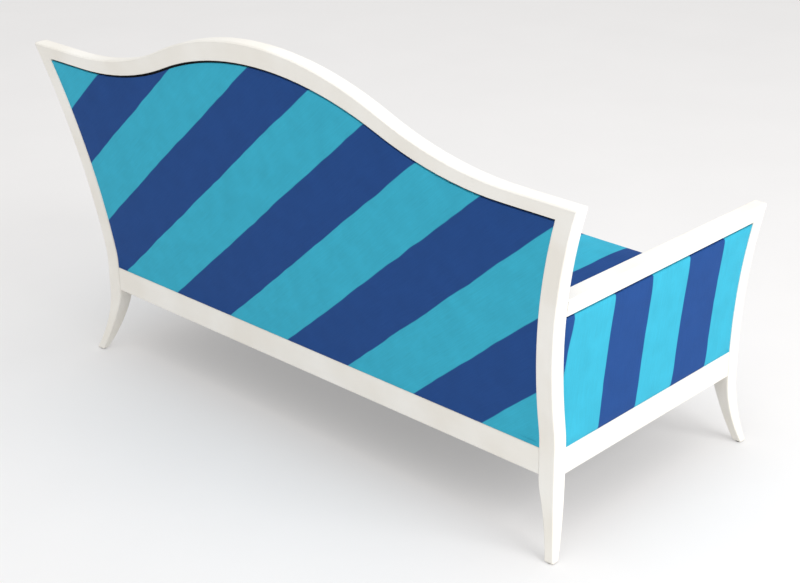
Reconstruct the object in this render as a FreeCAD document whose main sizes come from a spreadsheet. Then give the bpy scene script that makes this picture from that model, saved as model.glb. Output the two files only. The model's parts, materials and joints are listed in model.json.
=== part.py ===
"""A camelback settee: lacquered show-wood frame with striped upholstery set into it.

Millimetres, Z up, X along the seat, the front towards -Y, the origin on the floor under the middle.
"""
import FreeCAD, Part
import os
import re
import Sketcher

# Driving sizes: name, millimetres or degrees, meaning
SIZES = [
    ("frame_width", 1620, "outer faces of the posts at the seat rails"),
    ("overall_depth", 886, "front of the arms to the rear of the hump"),
    ("crest_peak", 1079, "top of the hump"),
    ("crest_shoulder", 909, "top of the crest over the posts"),
    ("hump_thickness", 52, "crest at the top of the hump"),
    ("shoulder_thickness", 34, "crest over the posts"),
    ("hump_half", 380, "middle to where the hump's top turns hollow"),
    ("shoulder_x", 750, "middle to where the top turns level"),
    ("arch_half", 370, "middle to where the underside turns hollow"),
    ("arch_shoulder_x", 720, "middle to where the underside turns level"),
    ("post_width", 46, "posts along X"),
    ("post_depth", 43, "rear posts and crest along Y"),
    ("front_depth", 40, "front posts along Y"),
    ("front_top_width", 34, "front posts along X at the arm"),
    ("flare_land", 47, "straight post above the seat rails, front view"),
    ("flare_radius", 1650, "outward sweep of the posts"),
    ("straight_land", 8, "straight post above the seat rails, side view"),
    ("blend_radius", 300, "bend into the rake and the lean"),
    ("rake_angle", 9, "back posts lean to the rear"),
    ("front_lean", 3, "front posts lean to the front"),
    ("rail_bottom", 192, "floor to seat rails"),
    ("rail_height", 71, "seat rails"),
    ("rail_thickness", 38, "seat rails"),
    ("rail_setback", 2, "posts stand proud of the rails"),
    ("rail_round", 5, "lower outer edge of the rails"),
    ("foot_width", 26, "foot along X"),
    ("foot_depth", 22, "foot along Y"),
    ("foot_splay", 33, "feet stand outside the posts"),
    ("rear_sweep", 37, "rear feet stand behind the posts"),
    ("front_sweep", 12, "front feet stand before the posts"),
    ("leg_bend", 24, "half the bend from the post into the leg's straight inner edge"),
    ("glide_height", 4, "foot glides"),
    ("glide_radius", 9, "foot glides"),
    ("glide_taper", 1.5, "foot glides draw in at the floor"),
    ("arm_bottom", 618, "underside of the arm rails"),
    ("arm_height", 42, "arm rails"),
    ("arm_rear_width", 46, "arm rails at the rear posts"),
    ("arm_front_width", 34, "arm rails at the front posts"),
    ("arm_nose", 10, "rounded front of the arm rails"),
    ("edge_ease", 2, "eased edges of the posts and arms"),
    ("crest_ease", 4, "eased top edges of the crest"),
    ("tenon_length", 18, "all tenons"),
    ("tenon_thickness", 12, "all tenons"),
    ("tenon_shoulder", 10, "rail above and below its tenon"),
    ("post_tenon_width", 20, "tenons on top of the posts"),
    ("glue_gap", 0.2, "clearance round a tenon"),
    ("cloth_gap", 0.5, "clearance round the covers and pads"),
    ("cover_recess", 2.5, "outside covers lie behind the frame's face"),
    ("cover_thickness", 9.5, "outside covers with their wadding"),
    ("cover_drop", 5, "shadow gap between the outside covers and the rail over them"),
    ("strip_width", 14, "tacking strips"),
    ("strip_thickness", 16, "tacking strips"),
    ("board_thickness", 9, "arm boards"),
    ("web_thickness", 1.5, "webbing"),
    ("web_width", 60, "webbing"),
    ("web_landing", 11, "webbing ends on the rails"),
    ("back_pad_proud", 45, "inside back pad before the frame"),
    ("arm_pad_proud", 18, "inside arm pads inside the frame"),
    ("seat_height", 446, "top of the seat cushion"),
    ("cushion_thickness", 122, "seat cushion"),
    ("cushion_round", 28, "edges of the seat cushion"),
    ("cushion_gap", 2, "clearance round the seat cushion"),
    ("cushion_setback", 8, "cushion and deck behind the front posts' face"),
    ("block_leg", 62, "corner blocks along the rails"),
    ("block_relief", 12, "corner blocks clear the posts"),
    ("block_height", 45, "corner blocks"),
    ("brace_width", 28, "seat brace"),
    ("brace_height", 42, "seat brace"),
    ("dust_thickness", 0.8, "dust cover"),
    ("dust_margin", 14, "rail left bare beside the dust cover"),
]
CROSS_WEBS = 9
LONG_WEBS = 4
BACK_UPRIGHT_WEBS = 8
BACK_LEVEL_WEBS = 3

# Sizes that follow from the driving ones
FORMULAS = [
    ("crest_arch", "crest_peak - hump_thickness"),
    ("crest_joint", "crest_shoulder - shoulder_thickness"),
    ("outer_x", "frame_width / 2"),
    ("inner_x", "outer_x - post_width"),
    ("rail_top", "rail_bottom + rail_height"),
    ("arm_top", "arm_bottom + arm_height"),
    ("flare_start", "rail_top + flare_land"),
    ("rake_slope", "tan(rake_angle * 1 deg)"),
    ("lean_slope", "tan(front_lean * 1 deg)"),
    ("bend_low", "rail_top + straight_land"),
    ("rake_bend", "blend_radius * tan(rake_angle / 2 * 1 deg)"),
    ("lean_bend", "blend_radius * tan(front_lean / 2 * 1 deg)"),
    ("rake_height", "bend_low + rake_bend"),
    ("lean_height", "bend_low + lean_bend"),
    ("rake_bend_y", "rake_bend * sin(rake_angle * 1 deg)"),
    ("rake_bend_z", "rake_height + rake_bend * cos(rake_angle * 1 deg)"),
    ("lean_bend_y", "lean_bend * sin(front_lean * 1 deg)"),
    ("lean_bend_z", "lean_height + lean_bend * cos(front_lean * 1 deg)"),
    ("back_y", "overall_depth / 2 - (crest_peak - crest_ease - rake_height) * rake_slope"),
    ("front_y", "(arm_top - arm_nose - lean_height) * lean_slope - overall_depth / 2"),
    ("leg_height", "rail_bottom - glide_height"),
    ("foot_outer", "outer_x + foot_splay"),
    ("foot_inner", "foot_outer - foot_width"),
    ("leg_angle", "atan((foot_inner - inner_x) / (leg_height - leg_bend))"),
    ("leg_bend_x", "inner_x + leg_bend * sin(leg_angle)"),
    ("leg_bend_z", "rail_bottom - leg_bend * (1 + cos(leg_angle))"),
    ("leg_bend_radius", "leg_bend / tan(leg_angle / 2)"),
    ("rear_foot", "back_y + rear_sweep"),
    ("front_foot", "front_y - front_sweep"),
    ("hump_turn", "2 * atan((crest_peak - crest_shoulder) / shoulder_x)"),
    ("hump_radius", "hump_half / sin(hump_turn)"),
    ("hollow_radius", "(shoulder_x - hump_half) / sin(hump_turn)"),
    ("hump_z", "crest_peak - hump_radius * (1 - cos(hump_turn))"),
    ("arch_turn", "2 * atan((crest_arch - crest_joint) / arch_shoulder_x)"),
    ("arch_radius", "arch_half / sin(arch_turn)"),
    ("arch_hollow_radius", "(arch_shoulder_x - arch_half) / sin(arch_turn)"),
    ("arch_z", "crest_arch - arch_radius * (1 - cos(arch_turn))"),
    ("cover_inside", "cover_recess + cover_thickness"),
    ("strip_inside", "cover_inside + strip_thickness"),
    ("board_inside", "cover_inside + board_thickness"),
    ("rail_inside", "rail_setback + rail_thickness"),
    ("web_stack", "2 * web_thickness"),
    ("pad_low", "rail_top + web_stack + cloth_gap"),
    ("arm_pad_x", "inner_x - arm_pad_proud"),
    ("back_pad_y", "back_y - post_depth - back_pad_proud"),
    ("deck_front", "front_y + cushion_setback"),
    ("deck_top", "seat_height - cushion_thickness"),
    ("saw_length", "2 * (frame_width + overall_depth)"),
]

doc = FreeCAD.newDocument("CamelbackSettee")
sizes = doc.addObject("Spreadsheet::Sheet", "Sizes")
NAMES = set()


def fill_sheet():
    """Put every size in a cell of its own, under its name."""
    rows = [(name, str(size), note) for name, size, note in SIZES]
    rows += [(name, "=" + formula, "") for name, formula in FORMULAS]
    for row, (name, content, note) in enumerate(rows, 1):
        sizes.set(f"A{row}", name)
        sizes.set(f"B{row}", content)
        sizes.set(f"C{row}", note)
        sizes.setAlias(f"B{row}", name)
        NAMES.add(name)
    doc.recompute()


def cells(formula):
    """Write each size's name in a formula as a reference to its cell."""
    return re.sub(r"[a-z_]+", lambda word: ("Sizes." if word[0] in NAMES else "") + word[0], formula)


def value(formula):
    """The number that a formula gives with the sizes as they are."""
    return sizes.evalExpression(cells(formula))


def flare(height):
    """How far the posts have swept outwards at a height."""
    return f"(flare_radius - sqrt(flare_radius ^ 2 - ({height} - flare_start) ^ 2))"


def rake(height):
    """How far the back has leaned to the rear at a height above its bend."""
    return f"(({height} - rake_height) * rake_slope)"


def lean(height):
    """How far a front post has leaned to the front at a height above its bend."""
    return f"(({height} - lean_height) * lean_slope)"


def tangent_radius(rise, run):
    """Radius of an arc that leaves a straight edge smoothly and ends after a rise and a run."""
    return f"((({rise}) ^ 2 + ({run}) ^ 2) / (2 * ({run})))"


def arc_between(start, end, radius, side):
    """Arc from start to end, with its centre on the left (side 1) or the right (side -1) of the way."""
    chord = end - start
    middle = (start + end) / 2
    left = FreeCAD.Vector(-chord.y, chord.x, 0).normalize()
    reach = (radius ** 2 - (chord.Length / 2) ** 2) ** 0.5
    centre = middle + left * reach * side
    turning = -left * side
    return Part.Arc(start, centre + turning * radius, end)


def outline(body, plane, corners, arcs):
    """Closed sketch on one of a body's planes: corners and arc radii are formulas tied to the sheet."""
    sketch = body.newObject("Sketcher::SketchObject", body.Name + "Outline")
    support = [feature for feature in body.Origin.OriginFeatures if feature.Role == plane][0]
    sketch.AttachmentSupport = [(support, "")]
    sketch.MapMode = "FlatFace"
    points = [FreeCAD.Vector(value(across), value(up), 0) for across, up in corners]
    first_end = []
    for edge, start in enumerate(points):
        end = points[(edge + 1) % len(points)]
        if edge in arcs:
            radius, side = arcs[edge]
            sketch.addGeometry(arc_between(start, end, value(radius), side))
            first_end.append(1 if side > 0 else 2)
        else:
            sketch.addGeometry(Part.LineSegment(start, end))
            first_end.append(1)
    for edge, (across, up) in enumerate(corners):
        before = (edge - 1) % len(points)
        sketch.addConstraint(Sketcher.Constraint("Coincident", before, 3 - first_end[before],
                                                 edge, first_end[edge]))
        for kind, formula in (("DistanceX", across), ("DistanceY", up)):
            tie = Sketcher.Constraint(kind, -1, 1, edge, first_end[edge], value(formula))
            sketch.setExpression(f"Constraints[{sketch.addConstraint(tie)}]", cells(formula))
    for edge, (radius, side) in arcs.items():
        tie = Sketcher.Constraint("Radius", edge, value(radius))
        sketch.setExpression(f"Constraints[{sketch.addConstraint(tie)}]", cells(radius))
    return sketch


def sawn(name, plane, corners, arcs, length="saw_length"):
    """Body sawn to an outline, as long to both sides of the plane."""
    body = doc.addObject("PartDesign::Body", name)
    pad = body.newObject("PartDesign::Pad", name + "Pad")
    pad.Profile = outline(body, plane, corners, arcs)
    pad.SideType = "Symmetric"
    pad.setExpression("Length", cells(length))
    return body


def block(name, low, high):
    """Rectangular block between two corners given as formulas."""
    box = doc.addObject("Part::Box", name)
    for axis, side, start, end in zip("xyz", ("Length", "Width", "Height"), low, high):
        box.setExpression(side, cells(f"({end}) - ({start})"))
        box.setExpression(f"Placement.Base.{axis}", cells(start))
    return box


def common(name, *solids):
    """What several solids share, as when a blank is sawn in two planes."""
    shared = doc.addObject("Part::MultiCommon", name)
    shared.Shapes = list(solids)
    return shared


def joined(name, *solids):
    """One piece made of several solids."""
    fusion = doc.addObject("Part::MultiFuse", name)
    fusion.Shapes = list(solids)
    return fusion


def grouped(name, solids):
    """Separate solids that share one node."""
    group = doc.addObject("Part::Compound", name)
    group.Links = solids
    return group


def mortised(name, piece, *mortises):
    """A piece with blocks cut out of it."""
    cut = doc.addObject("Part::Cut", name)
    cut.Base = piece
    cut.Tool = mortises[0] if len(mortises) == 1 else grouped(name + "Mortises", list(mortises))
    return cut


def mirrored(name, piece):
    """The same piece on the other side of the middle."""
    other = doc.addObject("Part::Mirroring", name)
    other.Source = piece
    other.Normal = ALONG
    return other


def eased(name, piece, wanted, size="edge_ease"):
    """A piece with its wanted edges planed off."""
    doc.recompute()
    width = value(size)
    chamfer = doc.addObject("Part::Chamfer", name)
    chamfer.Base = piece
    chamfer.Edges = [(number, width, width)
                     for number, edge in enumerate(piece.Shape.Edges, 1) if wanted(edge)]
    return chamfer


def runs_along(edge, axis, share=0.7):
    """Whether an edge runs mostly along an axis, judged at its middle."""
    middle = edge.tangentAt((edge.FirstParameter + edge.LastParameter) / 2)
    return abs(middle.dot(axis)) > share


def borders_top(piece, edge):
    """Whether an edge borders one of a piece's upper faces."""
    def looks_up(face):
        low_u, high_u, low_v, high_v = face.ParameterRange
        return face.normalAt((low_u + high_u) / 2, (low_v + high_v) / 2).z > 0.7
    return any(edge.isSame(other) for face in piece.Shape.Faces if looks_up(face) for other in face.Edges)


UP = FreeCAD.Vector(0, 0, 1)
ALONG = FreeCAD.Vector(1, 0, 0)
BACKWARD = FreeCAD.Vector(0, 1, 0)
fill_sheet()


# Profiles that the pieces share

def raked_band(name, near, far):
    """Layer of the back between two depths before its rear face, upright at the seat, then raked."""
    def edge_points(depth):
        face = f"back_y - ({depth})"
        return [(face, "rail_bottom"), (face, "bend_low"), (f"{face} + rake_bend_y", "rake_bend_z"),
                (f"{face} + {rake('crest_peak')}", "crest_peak")]
    corners = edge_points(near) + edge_points(far)[::-1]
    return sawn(name, "YZ_Plane", corners, {1: ("blend_radius", -1), 5: ("blend_radius", 1)})


def flared_band(name, near, far):
    """Layer of an arm between two depths inside its outer face, upright at the seat, then flared."""
    def edge_points(depth):
        face = f"outer_x - ({depth})"
        return [(face, "rail_bottom"), (face, "flare_start"), (f"{face} + {flare('arm_top')}", "arm_top")]
    corners = edge_points(near) + edge_points(far)[::-1]
    return sawn(name, "XZ_Plane", corners, {1: ("flare_radius", -1), 3: ("flare_radius", 1)})


def crest_underside(drop):
    """The crest's underside from its right shoulder to its left, lowered by a drop, and its arcs."""
    points = [("arch_shoulder_x", f"crest_joint - ({drop})"), ("arch_half", f"arch_z - ({drop})"),
              ("-arch_half", f"arch_z - ({drop})"), ("-arch_shoulder_x", f"crest_joint - ({drop})")]
    radii = [("arch_hollow_radius", -1), ("arch_radius", 1), ("arch_hollow_radius", -1)]
    return points, radii


def back_opening(name, gap, low, drop=None):
    """The opening between the rear posts, drawn in by a gap, its top lowered by a drop or the gap."""
    side = f"inner_x - ({gap})"
    top = f"crest_joint - ({drop or gap})"
    reach = f"{side} + {flare(top)}"
    under, radii = crest_underside(drop or gap)
    corners = [(side, low), (side, "flare_start"), (reach, top), *under,
               (f"-({reach})", top), (f"-({side})", "flare_start"), (f"-({side})", low)]
    arcs = {1: ("flare_radius", -1), 7: ("flare_radius", -1)}
    arcs.update(enumerate(radii, 3))
    return sawn(name, "XZ_Plane", corners, arcs)


def arm_opening(name, gap, low, drop=None):
    """The opening under an arm rail, drawn in by a gap, its top lowered by a drop or the gap."""
    rear = f"back_y - post_depth - ({gap})"
    front = f"front_y + front_depth + ({gap})"
    top = f"arm_bottom - ({drop or gap})"
    corners = [(front, low), (rear, low), (rear, "bend_low"), (f"{rear} + rake_bend_y", "rake_bend_z"),
               (f"{rear} + {rake(top)}", top), (f"{front} - {lean(top)}", top),
               (f"{front} - lean_bend_y", "lean_bend_z"), (front, "bend_low")]
    return sawn(name, "YZ_Plane", corners, {2: ("blend_radius", -1), 6: ("blend_radius", -1)})


# Posts, each sawn from one blank in two planes

def post_front_view(name, top, top_width):
    """A left post seen from the front: foot, splayed leg, straight at the rails, then swept outwards."""
    saw_top = f"({top} + post_depth)"
    reach = f"outer_x + {flare(saw_top)}"
    inner_run = f"{flare(saw_top)} + post_width - ({top_width})"
    corners = [("foot_inner", "glide_height"), ("foot_outer", "glide_height"), ("outer_x", "rail_bottom"),
               ("outer_x", "flare_start"), (reach, saw_top), (f"{reach} - ({top_width})", saw_top),
               ("inner_x", "flare_start"), ("inner_x", "rail_bottom"), ("leg_bend_x", "leg_bend_z")]
    arcs = {1: (tangent_radius("leg_height", "foot_splay"), -1), 3: ("flare_radius", -1),
            5: (tangent_radius(f"{saw_top} - flare_start", inner_run), 1), 7: ("leg_bend_radius", 1)}
    return sawn(name, "XZ_Plane", corners, arcs)


def rear_post_side_view(name):
    """A rear post seen from the side: leg swept to the rear, straight at the rails, then raked."""
    front = "back_y - post_depth"
    front_run = "rear_sweep + post_depth - foot_depth"
    corners = [("rear_foot - foot_depth", "glide_height"), ("rear_foot", "glide_height"),
               ("back_y", "rail_bottom"), ("back_y", "bend_low"), ("back_y + rake_bend_y", "rake_bend_z"),
               (f"back_y + {rake('crest_joint')}", "crest_joint"),
               (f"{front} + {rake('crest_joint')}", "crest_joint"),
               (f"{front} + rake_bend_y", "rake_bend_z"), (front, "bend_low"), (front, "rail_bottom")]
    arcs = {1: (tangent_radius("leg_height", "rear_sweep"), -1), 3: ("blend_radius", -1),
            7: ("blend_radius", 1), 9: (tangent_radius("leg_height", front_run), 1)}
    return sawn(name, "YZ_Plane", corners, arcs)


def front_post_side_view(name):
    """A front post seen from the side: leg swept to the front, straight at the rails, then leaning."""
    rear = "front_y + front_depth"
    rear_run = "front_sweep + front_depth - foot_depth"
    corners = [("front_foot", "glide_height"), ("front_foot + foot_depth", "glide_height"),
               (rear, "rail_bottom"), (rear, "bend_low"), (f"{rear} - lean_bend_y", "lean_bend_z"),
               (f"{rear} - {lean('arm_bottom')}", "arm_bottom"),
               (f"front_y - {lean('arm_bottom')}", "arm_bottom"),
               ("front_y - lean_bend_y", "lean_bend_z"), ("front_y", "bend_low"),
               ("front_y", "rail_bottom")]
    arcs = {1: (tangent_radius("leg_height", rear_run), 1), 3: ("blend_radius", 1),
            7: ("blend_radius", -1), 9: (tangent_radius("leg_height", "front_sweep"), -1)}
    return sawn(name, "YZ_Plane", corners, arcs)


def tenon(name, centre, spans, gap="0"):
    """Tenon, or with a gap its mortise, about a centre with a full span along each axis."""
    low = [f"{middle} - ({span}) / 2 - ({gap})" for middle, span in zip(centre, spans)]
    high = [f"{middle} + ({span}) / 2 + ({gap})" for middle, span in zip(centre, spans)]
    return block(name, low, high)


RAIL_MIDDLE = "rail_bottom + rail_height / 2"
TENON_HEIGHT = "rail_height - 2 * tenon_shoulder"
REAR_RAIL_TENON = ("0", "back_y - rail_setback - rail_thickness / 2", RAIL_MIDDLE)
FRONT_RAIL_TENON = ("0", "front_y + rail_setback + rail_thickness / 2", RAIL_MIDDLE)
SIDE_RAIL_TENON = ("outer_x - rail_setback - rail_thickness / 2",
                   "(back_y - post_depth + front_y + front_depth) / 2", RAIL_MIDDLE)
CREST_TENON = (f"outer_x - post_width / 2 + {flare('crest_joint')}",
               f"back_y - post_depth / 2 + {rake('crest_joint')}", "crest_joint")
ARM_POST_TENON = (f"outer_x - front_top_width / 2 + {flare('arm_bottom')}",
                  f"front_y + front_depth / 2 - {lean('arm_bottom')}", "arm_bottom")
ARM_MIDDLE = "(arm_bottom + arm_height / 2)"
ARM_REAR_TENON = (f"outer_x - arm_rear_width / 2 + {flare('arm_top')}",
                  f"back_y - post_depth + {rake(ARM_MIDDLE)}", ARM_MIDDLE)
POST_TENON_SPANS = ("post_tenon_width", "tenon_thickness", "2 * tenon_length")
ARM_TENON_SPANS = ("tenon_thickness", "2 * tenon_length", "arm_height - 2 * tenon_shoulder")
LONG_RAIL_TENON_SPANS = ("2 * (inner_x + tenon_length)", "tenon_thickness", TENON_HEIGHT)
SIDE_RAIL_TENON_SPANS = ("tenon_thickness",
                         "back_y - post_depth - (front_y + front_depth) + 2 * tenon_length", TENON_HEIGHT)


def make_posts():
    """Rear and front posts with a tenon on top and mortises for the rails."""
    def long_edge(edge):
        return runs_along(edge, UP)

    side_mortise = tenon("SideMortise", SIDE_RAIL_TENON, SIDE_RAIL_TENON_SPANS, "glue_gap")
    rear_sawn = common("RearPostSawn", post_front_view("RearPostFront", "crest_joint", "post_width"),
                       rear_post_side_view("RearPostSide"))
    rear_eased = eased("RearPostEased", rear_sawn, long_edge)
    rear_tenoned = joined("RearPostTenoned", rear_eased,
                          tenon("CrestTenon", CREST_TENON, POST_TENON_SPANS))
    rear = mortised("rear_post_left", rear_tenoned, side_mortise,
                    tenon("RearRailMortise", REAR_RAIL_TENON, LONG_RAIL_TENON_SPANS, "glue_gap"),
                    tenon("ArmMortise", ARM_REAR_TENON, ARM_TENON_SPANS, "glue_gap"))
    front_sawn = common("FrontPostSawn",
                        post_front_view("FrontPostFront", "arm_bottom", "front_top_width"),
                        front_post_side_view("FrontPostSide"))
    front_eased = eased("FrontPostEased", front_sawn, long_edge)
    front_tenoned = joined("FrontPostTenoned", front_eased,
                           tenon("ArmPostTenon", ARM_POST_TENON, POST_TENON_SPANS))
    front = mortised("front_post_left", front_tenoned, side_mortise,
                     tenon("FrontRailMortise", FRONT_RAIL_TENON, LONG_RAIL_TENON_SPANS, "glue_gap"))
    return [rear, mirrored("rear_post_right", rear), front, mirrored("front_post_right", front)]


def make_crest():
    """Serpentine crest rail over the rear posts, with a mortise for each post."""
    ends = f"outer_x + {flare('crest_joint')}"
    top_ends = f"outer_x + {flare('crest_shoulder')}"
    under, under_radii = crest_underside("0")
    corners = [(ends, "crest_joint"), (top_ends, "crest_shoulder"), ("shoulder_x", "crest_shoulder"),
               ("hump_half", "hump_z"), ("-hump_half", "hump_z"), ("-shoulder_x", "crest_shoulder"),
               (f"-({top_ends})", "crest_shoulder"), (f"-({ends})", "crest_joint"), *under[::-1]]
    arcs = {0: ("flare_radius", -1), 2: ("hollow_radius", -1), 3: ("hump_radius", 1),
            4: ("hollow_radius", -1), 6: ("flare_radius", -1)}
    arcs.update((edge, (radius, -side)) for edge, (radius, side) in enumerate(under_radii[::-1], 8))
    face = f"back_y + {rake('crest_joint')}"
    peak = f"back_y + {rake('crest_peak')}"
    slab = sawn("CrestSide", "YZ_Plane", [(face, "crest_joint"), (peak, "crest_peak"),
                                          (f"{peak} - post_depth", "crest_peak"),
                                          (f"{face} - post_depth", "crest_joint")], {})
    blank = common("CrestSawn", sawn("CrestFront", "XZ_Plane", corners, arcs), slab)

    def top_edge(edge):
        return runs_along(edge, ALONG, 0.5) and borders_top(blank, edge)

    def end_edge(edge):
        return runs_along(edge, UP)

    eased_top = eased("CrestTopEased", blank, top_edge, "crest_ease")
    eased_blank = eased("CrestEased", eased_top, end_edge)
    left = tenon("CrestMortise", CREST_TENON, POST_TENON_SPANS, "glue_gap")
    return [mortised("crest_rail", eased_blank, left, mirrored("CrestMortiseRight", left))]


def make_arm_rails():
    """Arm rails over the front posts, tapering in plan towards a rounded nose."""
    reach = f"outer_x + {flare('arm_top')}"
    rear = "back_y - post_depth"
    front_view = sawn("ArmFront", "XZ_Plane",
                      [("outer_x - 2 * post_width", "arm_bottom"),
                       (f"outer_x + {flare('arm_bottom')}", "arm_bottom"), (reach, "arm_top"),
                       ("outer_x - 2 * post_width", "arm_top")], {1: ("flare_radius", -1)})
    nose_z = "(arm_top - arm_nose)"
    side_view = sawn("ArmSide", "YZ_Plane",
                     [(f"front_y - {lean('arm_bottom')}", "arm_bottom"),
                      (f"{rear} + {rake('arm_bottom')}", "arm_bottom"),
                      (f"{rear} + {rake('arm_top')}", "arm_top"),
                      (f"front_y - {lean(nose_z)} + arm_nose", "arm_top"),
                      (f"front_y - {lean(nose_z)}", nose_z)],
                     {3: ("arm_nose", 1)})
    plan = sawn("ArmPlan", "XY_Plane",
                [(f"{reach} - arm_front_width", f"front_y - {lean('arm_top')}"),
                 ("foot_outer + post_width", f"front_y - {lean('arm_top')}"),
                 ("foot_outer + post_width", f"{rear} + {rake('arm_top')}"),
                 (f"{reach} - arm_rear_width", f"{rear} + {rake('arm_top')}")], {})
    blank = common("ArmSawn", front_view, side_view, plan)
    top = value("arm_top")

    def upper_edge(edge):
        return runs_along(edge, BACKWARD, 0.9) and edge.CenterOfMass.z > top - 1

    eased_blank = eased("ArmEased", blank, upper_edge)
    tenoned = joined("ArmTenoned", eased_blank, tenon("ArmTenon", ARM_REAR_TENON, ARM_TENON_SPANS))
    left = mortised("arm_rail_left", tenoned,
                    tenon("ArmPostMortise", ARM_POST_TENON, POST_TENON_SPANS, "glue_gap"))
    return [left, mirrored("arm_rail_right", left)]


# Seat frame

def rail_section(outer, inner, towards):
    """Section of a seat rail: square inside, its lower outer edge rounded."""
    edge = f"{outer} {'+' if towards > 0 else '-'} rail_round"
    corners = [(outer, "rail_top"), (outer, "rail_bottom + rail_round"), (edge, "rail_bottom"),
               (inner, "rail_bottom"), (inner, "rail_top")]
    return corners, {1: ("rail_round", towards)}


def make_rails():
    """Four seat rails with a tenon at each end."""
    rear_corners, rear_arcs = rail_section("back_y - rail_setback", "back_y - rail_inside", -1)
    front_corners, front_arcs = rail_section("front_y + rail_setback", "front_y + rail_inside", 1)
    side_corners, side_arcs = rail_section("outer_x - rail_setback", "outer_x - rail_inside", -1)
    rear = joined("rear_seat_rail", sawn("RearRail", "YZ_Plane", rear_corners, rear_arcs, "2 * inner_x"),
                  tenon("RearRailTenon", REAR_RAIL_TENON, LONG_RAIL_TENON_SPANS))
    front = joined("front_seat_rail",
                   sawn("FrontRail", "YZ_Plane", front_corners, front_arcs, "2 * inner_x"),
                   tenon("FrontRailTenon", FRONT_RAIL_TENON, LONG_RAIL_TENON_SPANS))
    between = block("BetweenPosts", ("0", "front_y + front_depth", "0"),
                    ("frame_width", "back_y - post_depth", "seat_height"))
    side = common("SideRail", sawn("SideRailSection", "XZ_Plane", side_corners, side_arcs), between)
    left = joined("side_seat_rail_left", side,
                  tenon("SideRailTenon", SIDE_RAIL_TENON, SIDE_RAIL_TENON_SPANS))
    return [rear, front, left, mirrored("side_seat_rail_right", left)]


def corner_block(name, rail_face, post_face, inward):
    """Block across a left corner, from the long rail to the side rail, clear of the post between."""
    body = doc.addObject("PartDesign::Body", name)
    side_face = "outer_x - rail_inside"
    corners = [("inner_x - block_relief", rail_face), ("inner_x - block_relief - block_leg", rail_face),
               (side_face, f"{post_face} {inward} (block_relief + block_leg)"),
               (side_face, f"{post_face} {inward} block_relief")]
    pad = body.newObject("PartDesign::Pad", name + "Pad")
    pad.Profile = outline(body, "XY_Plane", corners, {})
    pad.setExpression("Length", cells("block_height"))
    body.setExpression("Placement.Base.z", cells("rail_bottom + (rail_height - block_height) / 2"))
    return body


def make_seat_frame():
    """Rails, corner blocks and the brace that stops the long rails from bowing."""
    rear = corner_block("corner_block_rear_left", "back_y - rail_inside", "back_y - post_depth", "-")
    front = corner_block("corner_block_front_left", "front_y + rail_inside", "front_y + front_depth", "+")
    brace_low = "rail_bottom + rail_round"
    brace = block("seat_centre_brace", ("-brace_width / 2", "front_y + rail_inside", brace_low),
                  ("brace_width / 2", "back_y - rail_inside", f"{brace_low} + brace_height"))
    return make_rails() + [rear, mirrored("corner_block_rear_right", rear), front,
                           mirrored("corner_block_front_right", front), brace]


# Back upholstery, in layers from the outside cover to the inside pad

def make_back():
    """Tacking strips, webbing, outside cover and inside pad in the back opening."""
    strips = raked_band("StripLayer", "cover_inside", "strip_inside")
    edge = "inner_x - cloth_gap"
    top = "crest_joint"
    side_view = sawn("SideStrip", "XZ_Plane",
                     [(f"{edge} - strip_width", "rail_top"), (edge, "rail_top"), (edge, "flare_start"),
                      (f"{edge} + {flare(top)}", top), (f"{edge} - strip_width + {flare(top)}", top),
                      (f"{edge} - strip_width", "flare_start")],
                     {2: ("flare_radius", -1), 4: ("flare_radius", 1)})
    side = common("back_side_strip_left", side_view, strips)
    foot_reach = f"{edge} - strip_width - glue_gap"
    lower = common("back_lower_strip", strips,
                   block("LowerStrip", (f"-({foot_reach})", "-overall_depth", "rail_top"),
                         (foot_reach, "overall_depth", "rail_top + strip_width")))
    low_joint = "(crest_joint - strip_width - glue_gap)"
    reach = f"{foot_reach} + {flare(low_joint)}"
    upper, upper_radii = crest_underside("glue_gap")
    under, under_radii = crest_underside("glue_gap + strip_width")
    corners = [(reach, low_joint), (reach, "crest_joint - glue_gap"), *upper,
               (f"-({reach})", "crest_joint - glue_gap"), (f"-({reach})", low_joint), *under[::-1]]
    arcs = dict(enumerate(upper_radii, 2))
    arcs.update((number, (radius, -side)) for number, (radius, side) in enumerate(under_radii[::-1], 8))
    crest_strip = common("crest_strip", sawn("CrestStrip", "XZ_Plane", corners, arcs), strips)
    cover = common("outside_back_cover",
                   back_opening("BackCoverFront", "cloth_gap", "rail_top + cloth_gap", "cover_drop"),
                   raked_band("CoverLayer", "cover_recess", "cover_inside"))
    base = common("BackPadBase", back_opening("BackPadBaseFront", "cloth_gap", "pad_low"),
                  raked_band("PadBaseLayer", "strip_inside + web_stack", "post_depth"))
    proud = common("BackPadProud",
                   back_opening("BackPadProudFront", "arm_pad_proud + cloth_gap", "pad_low"),
                   raked_band("PadProudLayer", "strip_inside + web_stack", "post_depth + back_pad_proud"))
    return [side, mirrored("back_side_strip_right", side), lower, crest_strip, cover,
            joined("inside_back_pad", base, proud), make_back_webbing()]


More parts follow.
